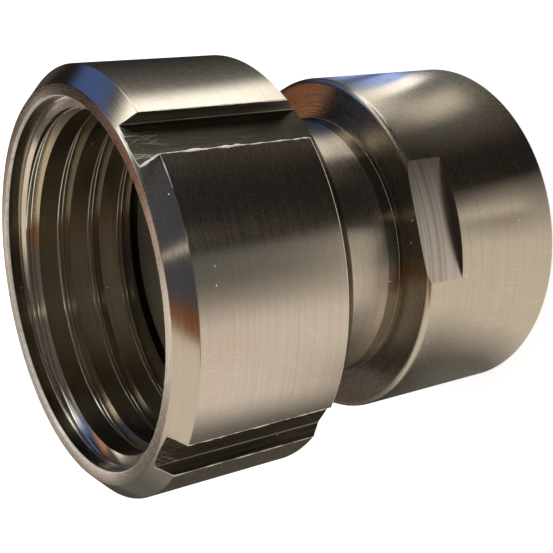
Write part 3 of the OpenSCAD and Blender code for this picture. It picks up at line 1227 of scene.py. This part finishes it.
# Tones of the cards that the steel mirrors
BLACK = (0.02, 0.016, 0.012)
BROWN = (0.075, 0.065, 0.05)
GREY = (0.15, 0.15, 0.135)
SLATE = (0.07, 0.075, 0.09)
BLUE = (0.08, 0.14, 0.35)
PALE_BLUE = (0.6, 0.85, 1.6)
WHITE = (2.0, 2.0, 1.9)
SAND = (0.35, 0.32, 0.28)
BEIGE = (0.79, 0.73, 0.62)
PALE = (0.92, 0.84, 0.76)
CREAM = (1.4, 1.27, 1.15)
ORANGE = (0.2, 0.07, 0.01)

# Radius of the floor, height of the flat cards above it, and radius of the sky card and of the patches
FLOOR = 6.0
CARD_GAP = 0.1 * MM
SKY_CARD = 1.2
PATCH_AT = 1.1

# Bands of each card by compass angle from Y towards X
EDGE_BANDS = [
    (-180, GREY), (-150, BROWN), (-40, BROWN), (0, GREY), (25, GREY), (50, BROWN), (60, BLACK),
    (72, BLACK), (82, SAND), (98, BEIGE), (136, BEIGE), (160, GREY),
]
NEAR_BANDS = [
    (-180, GREY), (-150, BROWN), (-40, BROWN), (-28, PALE_BLUE), (-18, BLUE), (-12, PALE_BLUE),
    (-4, PALE_BLUE), (-1, WHITE), (5, WHITE), (9, GREY), (15, GREY), (23, BEIGE), (29, BEIGE), (37, GREY),
    (48, BROWN), (56, BLACK), (71, BLACK), (78, SAND), (84, BEIGE), (88, SAND), (98, BEIGE), (136, BEIGE),
    (160, GREY),
]
MIDDLE_BANDS = [
    (-180, BLACK), (-66, BROWN), (-50, BLACK), (-30, BROWN), (-10, GREY), (-2, BEIGE), (12, BEIGE),
    (20, GREY), (34, BROWN), (48, BLACK), (77, BLACK), (80, SAND), (88, BEIGE), (128, BEIGE), (140, SAND),
    (150, BLACK),
]
FAR_BANDS = [
    (-180, BROWN), (-66, BROWN), (-50, BLACK), (-30, BROWN), (-9, GREY), (0, WHITE), (18, WHITE),
    (22, BROWN), (50, BLACK), (80, BLACK), (82, GREY), (94, GREY), (102, SAND), (115, PALE),
    (154, PALE), (170, GREY),
]
SKY_BANDS = [
    (-180, BEIGE), (-170, BEIGE), (-158, SAND), (-140, GREY), (-111, GREY), (-100, BROWN), (-75, BLACK),
    (-52, BLACK), (-44, BLUE), (-28, BLUE), (-23, SLATE), (-19, GREY), (-15, BEIGE), (-12, WHITE),
    (-3, WHITE), (1, BLACK), (16, BLACK), (26, SLATE), (69, SLATE), (71, BEIGE), (74, BEIGE),
    (76, SLATE), (113, SLATE), (116, ORANGE), (132, ORANGE), (136, BEIGE),
]

# Flat cards from the sleeve outwards, each with its outer radius
FLAT_CARDS = (
    ("edge_card", 36 * MM, EDGE_BANDS),
    ("near_card", 56 * MM, NEAR_BANDS),
    ("middle_card", 88 * MM, MIDDLE_BANDS),
    ("far_card", SKY_CARD, FAR_BANDS),
)

# Patches in front of the sky card: compass angles, heights above the horizon in degrees, and tone
PATCHES = {
    "rim_high_patch": ((-102, -90), (26, 31), (2.8, 2.55, 2.4)),
    "rim_low_patch": ((-101, -95), (5, 16), BEIGE),
    "flank_patch": ((-112, -95), (43, 64), (2.2, 2.0, 1.8)),
    "edge_patch": ((-142, -118), (43, 75), CREAM),
    "blue_patch": ((-50, -36), (43, 55), (0.4, 0.8, 1.9)),
    "shoulder_patch": ((-93, -76), (33, 41), (0.85, 0.34, 0.16)),
}


def banded(name, bands):
    """A glowing card with soft bands by compass angle."""
    material, tree = bare_material(name)
    material.cycles.emission_sampling = "NONE"
    x, y = node(tree, "ShaderNodeSeparateXYZ", {0: on_object(tree)}).outputs[:2]
    angle = maths(tree, "ARCTAN2", x, y)
    ramp = node(tree, "ShaderNodeValToRGB", {
        "Fac": maths(tree, "MULTIPLY_ADD", angle, 1 / math.tau, 0.5)})
    stops = ramp.color_ramp.elements
    stops.remove(stops[-1])
    for i, (degrees, colour) in enumerate([*bands, (180, bands[0][1])]):
        stop = stops[0] if i == 0 else stops.new((degrees + 180) / 360)
        stop.color = (*colour, 1.0)
    surface(tree, node(tree, "ShaderNodeEmission", {"Color": ramp.outputs["Color"], "Strength": 1.0}))
    return material


def disc(name, inner, outer, height, around=96):
    """A flat ring, or a full disc where the inner radius is zero."""
    form = bmesh.new()
    turns = [math.tau * i / around for i in range(around)]
    outside = [form.verts.new((outer * math.cos(a), outer * math.sin(a), height)) for a in turns]
    if inner <= 0:
        form.faces.new(outside)
    else:
        inside = [form.verts.new((inner * math.cos(a), inner * math.sin(a), height)) for a in turns]
        for i in range(around):
            j = (i + 1) % around
            form.faces.new((inside[i], outside[i], outside[j], inside[j]))
    return object_from(name, form)


def seen_rays(tree):
    """One for rays from the camera and in gloss or glass, and zero for the light that falls."""
    path = node(tree, "ShaderNodeLightPath")
    seen = maths(tree, "MAXIMUM", path.outputs["Is Camera Ray"], path.outputs["Is Glossy Ray"])
    return maths(tree, "MAXIMUM", seen, path.outputs["Is Transmission Ray"])


def floor_material(colour):
    """Pale floor that shows white to the camera and in the steel, and keeps a soft shadow."""
    material, tree = bare_material("floor")
    matt = node(tree, "ShaderNodeBsdfDiffuse", {"Color": (*colour, 1.0)})
    strength = maths(tree, "MULTIPLY", seen_rays(tree), 0.55)
    glow = node(tree, "ShaderNodeEmission", {"Color": (1.0, 1.0, 1.0, 1.0), "Strength": strength})
    surface(tree, node(tree, "ShaderNodeAddShader", {0: matt.outputs[0], 1: glow.outputs[0]}))
    return material


def dome(name, radius, around=96):
    """Half a ball, open below."""
    form = bmesh.new()
    bmesh.ops.create_uvsphere(form, u_segments=around, v_segments=around // 2, radius=radius)
    below = [v for v in form.verts if v.co.z < -radius / 1000]
    bmesh.ops.delete(form, geom=below, context="VERTS")
    return object_from(name, form)


def patch(name, compass, heights, radius, steps=16):
    """A stretch of a ball between two compass angles and two heights above the horizon."""
    form = bmesh.new()
    rows = []
    for i in range(steps + 1):
        rise = math.radians(heights[0] + (heights[1] - heights[0]) * i / steps)
        row = []
        for j in range(steps + 1):
            way = math.radians(compass[0] + (compass[1] - compass[0]) * j / steps)
            row.append(form.verts.new((radius * math.cos(rise) * math.sin(way),
                                       radius * math.cos(rise) * math.cos(way),
                                       radius * math.sin(rise))))
        rows.append(row)
    for low, high in zip(rows, rows[1:]):
        for j in range(steps):
            form.faces.new((low[j], low[j + 1], high[j + 1], high[j]))
    return object_from(name, form)


def card(piece, bands):
    """Makes a stage object a glowing card that only shows in gloss."""
    piece.data.materials.append(banded(piece.name, bands))
    piece.visible_camera = False
    piece.visible_diffuse = False
    piece.visible_transmission = False
    piece.visible_shadow = False


def make_world(scene):
    """Soft light from all round, white where it is seen."""
    world = bpy.data.worlds.new("studio")
    scene.world = world
    world.use_nodes = True
    tree = world.node_tree
    tree.nodes.clear()
    soft = node(tree, "ShaderNodeBackground", {"Color": (1.0, 1.0, 1.0, 1.0), "Strength": 0.75})
    white = node(tree, "ShaderNodeBackground", {"Color": (1.0, 1.0, 1.0, 1.0), "Strength": 1.0})
    either = node(tree, "ShaderNodeMixShader", {
        0: seen_rays(tree), 1: soft.outputs[0], 2: white.outputs[0]})
    surface(tree, either, "ShaderNodeOutputWorld")


def area_lamp(name, compass, height, reach, size, watts, colour):
    """A soft square lamp at a compass angle and height, turned towards the adapter's middle."""
    data = bpy.data.lights.new(name, "AREA")
    data.shape = "RECTANGLE"
    data.size = data.size_y = size
    data.energy = watts
    data.color = colour
    lamp = bpy.data.objects.new(name, data)
    a = math.radians(compass)
    lamp.location = (reach * math.sin(a), reach * math.cos(a), height)
    middle = Vector((0.0, 0.0, 0.04))
    lamp.rotation_euler = (middle - lamp.location).to_track_quat("-Z", "Y").to_euler()
    lamp.visible_glossy = False
    bpy.context.scene.collection.objects.link(lamp)


class ADAPTER_OT_stage(bpy.types.Operator):
    """Make the floor, the soft light and the camera"""

    bl_idname = "adapter.stage"
    bl_label = "Stage"

    def execute(self, context):
        scene = context.scene
        floor = disc("floor", 0.0, FLOOR, 0.0)
        floor.data.materials.append(floor_material(scene.adapter_colours.floor))
        inner = scene.adapter_sleeve.radius - 2 * CARD_GAP
        for name, outer, bands in FLAT_CARDS:
            card(disc(name, inner, outer, CARD_GAP), bands)
            inner = outer
        card(dome("sky_card", SKY_CARD), SKY_BANDS)
        for name, (compass, heights, tone) in PATCHES.items():
            card(patch(name, compass, heights, PATCH_AT), [(-180, tone)])
        make_world(scene)
        area_lamp("soft_lamp", compass=-5, height=0.7, reach=0.8, size=0.5, watts=4.0,
                  colour=(1.0, 1.0, 1.0))
        self.camera(scene)
        scene.view_settings.view_transform = "Standard"
        return {"FINISHED"}

    def camera(self, scene):
        """The camera at the photograph's viewing angle."""
        data = bpy.data.cameras.new("camera")
        data.lens = CAMERA_LENS
        data.sensor_width = SENSOR
        data.clip_start = 1 * MM
        camera = bpy.data.objects.new("camera", data)
        back = CAMERA_BACK.normalized()
        right = CAMERA_UP.cross(back).normalized()
        up = back.cross(right)
        turned = Matrix((right, up, back)).transposed().to_4x4()
        camera.matrix_world = Matrix.Translation(CAMERA_AT) @ turned
        scene.collection.objects.link(camera)
        scene.camera = camera


class ADAPTER_PT_panel(bpy.types.Panel):
    """Sizes and colours of the adapter"""

    bl_label = "Adapter"
    bl_idname = "ADAPTER_PT_panel"
    bl_space_type = "VIEW_3D"
    bl_region_type = "UI"
    bl_category = "Adapter"

    def draw(self, context):
        for operator in PIECES:
            self.layout.operator(operator.bl_idname)
        for key in SETTINGS:
            box = self.layout.box()
            box.label(text=key.replace("adapter_", "").capitalize())
            settings = getattr(context.scene, key)
            for name in settings.__annotations__:
                box.prop(settings, name)


PIECES = (
    ADAPTER_OT_union_nut,
    ADAPTER_OT_slot_burrs,
    ADAPTER_OT_liner,
    ADAPTER_OT_sleeve,
    ADAPTER_OT_gasket,
    ADAPTER_OT_stage,
)
CLASSES = (*SETTINGS.values(), *PIECES, ADAPTER_PT_panel)


def register():
    for cls in CLASSES:
        bpy.utils.register_class(cls)
    for key, cls in SETTINGS.items():
        setattr(bpy.types.Scene, key, PointerProperty(type=cls))


def unregister():
    for key in SETTINGS:
        delattr(bpy.types.Scene, key)
    for cls in reversed(CLASSES):
        bpy.utils.unregister_class(cls)


def main():
    """Registers the add-on and makes every piece and the stage."""
    register()
    for operator in PIECES:
        group, name = operator.bl_idname.split(".")
        getattr(getattr(bpy.ops, group), name)()


if __name__ == "__main__":
    main()
